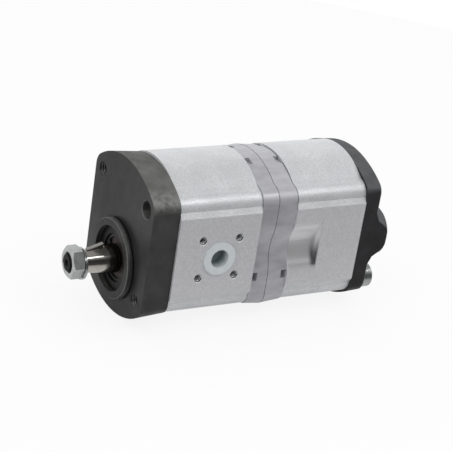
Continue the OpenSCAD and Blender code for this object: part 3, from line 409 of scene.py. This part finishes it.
def thread_tree():
    """Geometry Nodes for a thread: a ridge of triangular section on a helix that climbs from its
    place along its turned Z."""
    tree = bpy.data.node_groups.new("thread", "GeometryNodeTree")
    for label, kind in (("Geometry", "Geometry"), ("Radius", "Float"), ("Pitch", "Float"),
                        ("Length", "Float"), ("Ridge", "Float"), ("Place", "Vector"),
                        ("Turn", "Vector"), ("Finish", "Material")):
        tree.interface.new_socket(label, in_out="INPUT", socket_type="NodeSocket" + kind)
    tree.interface.new_socket("Geometry", in_out="OUTPUT", socket_type="NodeSocketGeometry")
    given = add(tree, "NodeGroupInput").outputs
    turns = add(tree, MATH, [given["Length"], given["Pitch"]], operation="DIVIDE")
    helix = add(tree, "GeometryNodeCurveSpiral", {
        "Resolution": STEPS_PER_TURN, "Rotations": turns, "Start Radius": given["Radius"],
        "End Radius": given["Radius"], "Height": given["Length"]})
    section = add(tree, "GeometryNodeCurvePrimitiveCircle", {"Resolution": 3,
                                                             "Radius": given["Ridge"]})
    ridge = add(tree, "GeometryNodeCurveToMesh", {"Curve": helix, "Profile Curve": section,
                                                  "Fill Caps": True})
    placed = add(tree, "GeometryNodeTransform", {
        "Geometry": ridge, "Translation": given["Place"],
        "Rotation": add(tree, "FunctionNodeEulerToRotation", [given["Turn"]])})
    real = add(tree, "GeometryNodeRealizeInstances", [placed])
    coated = add(tree, "GeometryNodeSetMaterial", {"Geometry": real, "Material": given["Finish"]})
    add(tree, "NodeGroupOutput", [coated])
    return tree


def grown(tree, values):
    """Runs a Geometry Nodes tree and gives back a plain mesh."""
    seed = bpy.data.objects.new("seed", bpy.data.meshes.new("seed"))
    bpy.context.scene.collection.objects.link(seed)
    modifier = seed.modifiers.new("grow", "NODES")
    modifier.node_group = tree
    for item in tree.interface.items_tree:
        if item.in_out == "INPUT" and item.name in values:
            modifier[item.identifier] = values[item.name]
    seed.update_tag()
    ready = seed.evaluated_get(bpy.context.evaluated_depsgraph_get())
    result = bpy.data.meshes.new_from_object(ready)
    bpy.data.objects.remove(seed)
    return result


MERGE_WITHIN = 1e-7  # metres


def piece(name, meshes, finish, body):
    """Joins meshes into one piece, turns its faces outwards and lets it ride on a body."""
    shape = bmesh.new()
    for mesh in meshes:
        shape.from_mesh(mesh)
    bmesh.ops.remove_doubles(shape, verts=shape.verts, dist=MERGE_WITHIN)
    bmesh.ops.recalc_face_normals(shape, faces=shape.faces)
    whole = bpy.data.meshes.new(name)
    shape.to_mesh(whole)
    shape.free()
    whole.materials.clear()
    whole.materials.append(finish)
    made = bpy.data.objects.new(name, whole)
    bpy.context.scene.collection.objects.link(made)
    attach(made, body)
    return made


SHARP_OVER = math.radians(14)


def copy_of(node, name, finish, body, shift=None):
    """A piece that stands for a CAD node: its mesh, moved point by point by shift, smooth over its
    curves and sharp at its edges."""
    mesh = parts[node].data.copy()
    for layer in [a for a in mesh.attributes if a.name == "custom_normal"]:
        mesh.attributes.remove(layer)
    for v in mesh.vertices:
        v.co = shift(v.co) if shift else v.co
    made = piece(name, [mesh], finish, body)
    made.data.shade_smooth()
    made.data.set_sharp_from_angle(angle=SHARP_OVER)
    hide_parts(node)
    return made


# Threads. ALONG holds the Euler turns that lay a helix's own Z along an axis
ALONG = {"+x": (0, math.pi / 2, 0), "-y": (math.pi / 2, 0, 0), "+y": (-math.pi / 2, 0, 0)}
M6_THREAD = {"radius": 2.55, "pitch": 1.0, "length": 11, "ridge": 0.46}
CASE_THREAD = {"radius": 5.22, "pitch": 1.5, "length": 3.2, "ridge": 0.5}
REAR_PORT_THREAD = {"pitch": 1.8, "length": 13.4, "ridge": 0.62}
M6_IN, CASE_IN, REAR_PORT_IN = 0.75, 0.7, 0.8  # how far below its face each thread starts
RIDGE_OVER_CORE = 0.3
threads = thread_tree()


def thread(place, along, finish, radius, pitch, length, ridge):
    """The mesh of one thread, from sizes in millimetres."""
    return grown(threads, {"Radius": radius * MM, "Pitch": pitch * MM, "Length": length * MM,
                           "Ridge": ridge * MM, "Place": [v * MM for v in place],
                           "Turn": ALONG[along], "Finish": finish})


port_threads = [
    thread((SIDE_PORT_X + i * pitch / 2, side * (SIDE_FACE_Y - M6_IN), SIDE_PORT_Z + j * pitch / 2),
           inwards, bright_thread, **M6_THREAD)
    for side, inwards, pitch in ((-1, "+y", PRESSURE_PITCH), (1, "-y", SUCTION_PITCH))
    for i in (-1, 1) for j in (-1, 1)]
piece("port_screw_threads", port_threads, bright_thread, "housing")

case_threads = [thread((CASE_IN, s * FLANGE_HOLE_AT, MID_Z + s * FLANGE_HOLE_AT), "+x", cut_iron,
                       **CASE_THREAD) for s in (-1, 1)]
piece("case_screw_threads", case_threads, cut_iron, "housing")

rear_from = REAR_END - REAR_PORT_IN - REAR_PORT_THREAD["length"]
rear_threads = [thread((rear_from, y, MID_Z), "+x", rear_iron, core_r + RIDGE_OVER_CORE,
                       **REAR_PORT_THREAD) for y, core_r in REAR_PORTS]
piece("rear_port_threads", rear_threads, rear_iron, "housing")

# The shaft, with its threaded end blackened
THREAD_FROM = -23.8
shaft = copy_of("drive_shaft", "shaft_with_black_thread", ground_steel, "drive_train")
shaft.data.materials.append(black_steel)
for polygon in shaft.data.polygons:
    polygon.material_index = int(polygon.center.x < THREAD_FROM * MM)

# The key, a little short and rocked in its round seat, so that its rear end stands up
KEY_SEAT = Vector((-14.55, 0, 10.94)) * MM
KEY_ROCK = math.radians(-10)
KEY_SHARE = 0.87
key_front = Vector((min(v.co.x for v in parts["woodruff_key"].data.vertices), 0, 0))
key_turn = (Matrix.Translation(KEY_SEAT) @ Matrix.Rotation(KEY_ROCK, 4, "Y")
            @ Matrix.Translation(key_front - KEY_SEAT) @ Matrix.Diagonal((KEY_SHARE, 1, 1, 1))
            @ Matrix.Translation(-key_front))
copy_of("woodruff_key", "seated_key", key_steel, "drive_train",
        lambda at: key_turn @ at)

# Fine dark lines where the castings meet: painted shade of the gaps and steps between them
SECTION_WITHIN = 1e-6  # metres; the rest are millimetres
CLOSEST_POINTS = 0.05
BAND_DEPTH = 0.1
BAND_HIDDEN = 0.05
BAND_STAND = 0.02
ABOVE_EARS = MID_Z + 24


def run_of(loop):
    """How long a line of points is."""
    return sum((p - q).length for p, q in zip(loop, loop[1:]))


def outline_at(node, x):
    """The outer loop of a CAD node's section at x, as points in millimetres."""
    cut = bmesh.new()
    cut.from_mesh(parts[node].data)
    bmesh.ops.remove_doubles(cut, verts=cut.verts, dist=SECTION_WITHIN)
    got = bmesh.ops.bisect_plane(cut, geom=cut.verts[:] + cut.edges[:] + cut.faces[:],
                                 plane_co=(x * MM, 0, 0), plane_no=(1, 0, 0))["geom_cut"]
    edges = dict.fromkeys(g for g in got if isinstance(g, bmesh.types.BMEdge))
    loops = []
    while edges:
        edge = next(iter(edges))
        here = edge.verts[1]
        loop = [edge.verts[0].co.copy()]
        while edge:
            del edges[edge]
            loop.append(here.co.copy())
            edge = next((e for e in here.link_edges if e in edges), None)
            here = edge.other_vert(here) if edge else None
        loops.append(loop)
    cut.free()
    points = [Vector((p.y, p.z)) / MM for p in max(loops, key=run_of)]
    clean = [points[0]]
    for p in points[1:]:
        if (p - clean[-1]).length > CLOSEST_POINTS:
            clean.append(p)
    if (clean[0] - clean[-1]).length < CLOSEST_POINTS:
        clean.pop()
    return clean


def joint_line(name, node, x, width, above=-math.inf):
    """A thin closed band round an outline, which stands a little proud of it above a height and
    stays hidden below it."""
    points = outline_at(node, x)
    count = len(points)
    area = sum(points[i - 1].cross(points[i]) for i in range(count))
    outward = []
    for i in range(count):
        way = (points[(i + 1) % count] - points[i - 1]).normalized()
        outward.append(Vector((way.y, -way.x)) * (1 if area > 0 else -1))
    shape = bmesh.new()
    rings = []
    for dx, lift in ((-width / 2, -BAND_DEPTH), (-width / 2, BAND_STAND),
                     (width / 2, BAND_STAND), (width / 2, -BAND_DEPTH)):
        rings.append([])
        for p, n in zip(points, outward):
            rise = lift if p.y > above else min(lift, -BAND_HIDDEN)
            height = min(max((p.y + n.y * rise) * MM, cad_box[0][2]), cad_box[1][2])
            rings[-1].append(shape.verts.new(((x + dx) * MM, (p.x + n.x * rise) * MM, height)))
    for a, b in zip(rings, rings[1:] + rings[:1]):
        for i in range(count):
            shape.faces.new((a[i - 1], a[i], b[i], b[i - 1]))
    mesh = bpy.data.meshes.new(name)
    shape.to_mesh(mesh)
    shape.free()
    return piece(name, [mesh], gap_shade_finish, "housing")


joint_line("joint_line_plates", "front_plate", PLATES_JOINT_X, 0.35)
joint_line("joint_line_rear", "rear_plate", REAR_JOINT_X, 0.45, ABOVE_EARS)
joint_line("joint_line_front", "front_plate", FRONT_JOINT_X, 0.25, ABOVE_EARS)

# The bodies' rounded backs stand a little fuller than the solids', and the rear cover's a little
# lower. Each pair is for the lower and the upper arc
ARC_FROM = 36
ARC_TOP = 48.6
BODY_RISE = (0.9, 1.35)
COVER_RISE = (-0.7, -0.7)


def fuller(rise):
    """Moves the lower and upper arcs of a casting out by rise, in millimetres, or in."""
    def moved(at):
        off = at.z / MM - MID_Z
        share = min(max((abs(off) - ARC_FROM) / (ARC_TOP - ARC_FROM), 0), 1)
        outward = math.copysign(1, off) * rise[off > 0] * share * (2 - share)
        return Vector((at.x, at.y, at.z + outward * MM))
    return moved


for node, finish, slot, rise in (("front_body", body_skin, "body_aluminium", BODY_RISE),
                                 ("rear_body", body_skin, "body_aluminium", BODY_RISE),
                                 ("rear_cover", rear_iron, "cover_iron", COVER_RISE)):
    copy_of(node, node + "_shell", finish, "housing", fuller(rise))


def pale_paper():
    """Pale matt paper, near white to the camera, which keeps the pump's shadow. To gloss it is
    painted darker in front of the pump, and with a painted shadow close round it."""
    white_share = 0.87
    front_y, pump_x, pump_share, close_mm = (-120, -20), 80, 0.55, (20, 80)
    finish, tree, mm = start("pale_paper")
    rays = add(tree, "ShaderNodeLightPath").outputs
    x, y, _ = add(tree, SPLIT, [mm]).outputs
    behind = add(tree, RANGE, [y, *front_y, 0.08, 1.0])
    along = add(tree, MATH, [x, pump_x], operation="SUBTRACT")
    along = add(tree, MATH, [along, pump_share], operation="MULTIPLY")
    around = add(tree, VECTOR, [add(tree, JOIN, [along, y])], operation="LENGTH")
    # Painted shadow, seen in gloss, close round the pump
    painted_gloss_shadow = add(tree, RANGE, [around, *close_mm, 0.45, 0.95])
    shine = add(tree, MATH, [behind, painted_gloss_shadow], operation="MULTIPLY")
    paper = add(tree, "ShaderNodeBsdfDiffuse", {"Color": srgb("#e2e2e2")})
    white, gloss = (add(tree, "ShaderNodeEmission", [srgb("#ffffff"), strength])
                    for strength in (1.0, shine))
    seen = add(tree, MATH, [rays["Is Camera Ray"], rays["Is Transmission Ray"]],
               operation="MAXIMUM")
    seen = add(tree, MATH, [seen, white_share], operation="MULTIPLY")
    lit = add(tree, "ShaderNodeMixShader", [seen, paper, white])
    lit = add(tree, "ShaderNodeMixShader", [rays["Is Glossy Ray"], lit, gloss])
    add(tree, "ShaderNodeOutputMaterial", {"Surface": lit})
    return finish


# Stage: a round of paper just under the pump
PAPER_RADIUS = 0.75
UNDER_PUMP = 0.5 * MM
low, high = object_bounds()
paper_shape = bmesh.new()
bmesh.ops.create_circle(paper_shape, cap_ends=True, segments=96, radius=PAPER_RADIUS,
                        matrix=Matrix.Translation((MIDDLE.x, 0, low[2] - UNDER_PUMP)))
floor_mesh = bpy.data.meshes.new("floor")
paper_shape.to_mesh(floor_mesh)
paper_shape.free()
floor_mesh.materials.append(pale_paper())
floor = bpy.data.objects.new("floor", floor_mesh)
bpy.context.scene.collection.objects.link(floor)
floor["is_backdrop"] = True


def studio():
    """A world that is white to the camera. It lights from behind and above, and less from in front,
    where gloss sees a dark room. Gloss also sees a greyer ceiling."""
    rise_share, front_to_back, ceiling = 0.9, (-0.55, 0.35), (0.5, 0.85)
    dim, bright, dark, grey = 0.45, 1.1, 0.05, 0.4
    world = bpy.data.worlds.new("studio")
    world.use_nodes = True
    tree = world.node_tree
    tree.nodes.clear()
    rays = add(tree, "ShaderNodeLightPath").outputs
    _, y, z = add(tree, SPLIT, [add(tree, "ShaderNodeTexCoord").outputs["Generated"]]).outputs
    rise = add(tree, MATH, [z, rise_share], operation="MULTIPLY")
    behind = add(tree, RANGE, [add(tree, MATH, [y, rise], operation="ADD"), *front_to_back])
    overhead = add(tree, RANGE, [z, *ceiling, 1.0, grey])
    for_paint = add(tree, MIX, {0: behind, 2: dim, 3: bright})
    for_gloss = add(tree, MIX, {0: behind, 2: dark, 3: overhead})
    level = add(tree, MIX, {0: rays["Is Glossy Ray"], 2: for_paint, 3: for_gloss})
    soft, white = (add(tree, "ShaderNodeBackground", [srgb("#ffffff"), strength])
                   for strength in (level, 1.0))
    seen = add(tree, MATH, [rays["Is Camera Ray"], rays["Is Transmission Ray"]],
               operation="MAXIMUM")
    both = add(tree, "ShaderNodeMixShader", [seen, soft, white])
    add(tree, "ShaderNodeOutputWorld", {"Surface": both})
    return world


bpy.context.scene.world = studio()

LAMP_DISTANCE = 1.2


def softbox(name, way, width, height, power):
    """A soft lamp that looks at the middle of the pump from a direction."""
    lamp = bpy.data.lights.new(name, "AREA")
    lamp.shape = "RECTANGLE"
    lamp.size, lamp.size_y, lamp.energy = width, height, power
    box = bpy.data.objects.new(name, lamp)
    bpy.context.scene.collection.objects.link(box)
    way = Vector(way).normalized()
    box.location = MIDDLE + way * LAMP_DISTANCE
    box.rotation_mode = "QUATERNION"
    box.rotation_quaternion = (-way).to_track_quat("-Z", "Y")


softbox("key", (0.24, -0.62, 0.74), 1.0, 0.14, 2.9)
softbox("fill", (-0.9, -0.35, 0.3), 0.5, 0.5, 1.6)

bpy.context.scene.view_settings.view_transform = "Standard"

low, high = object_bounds()
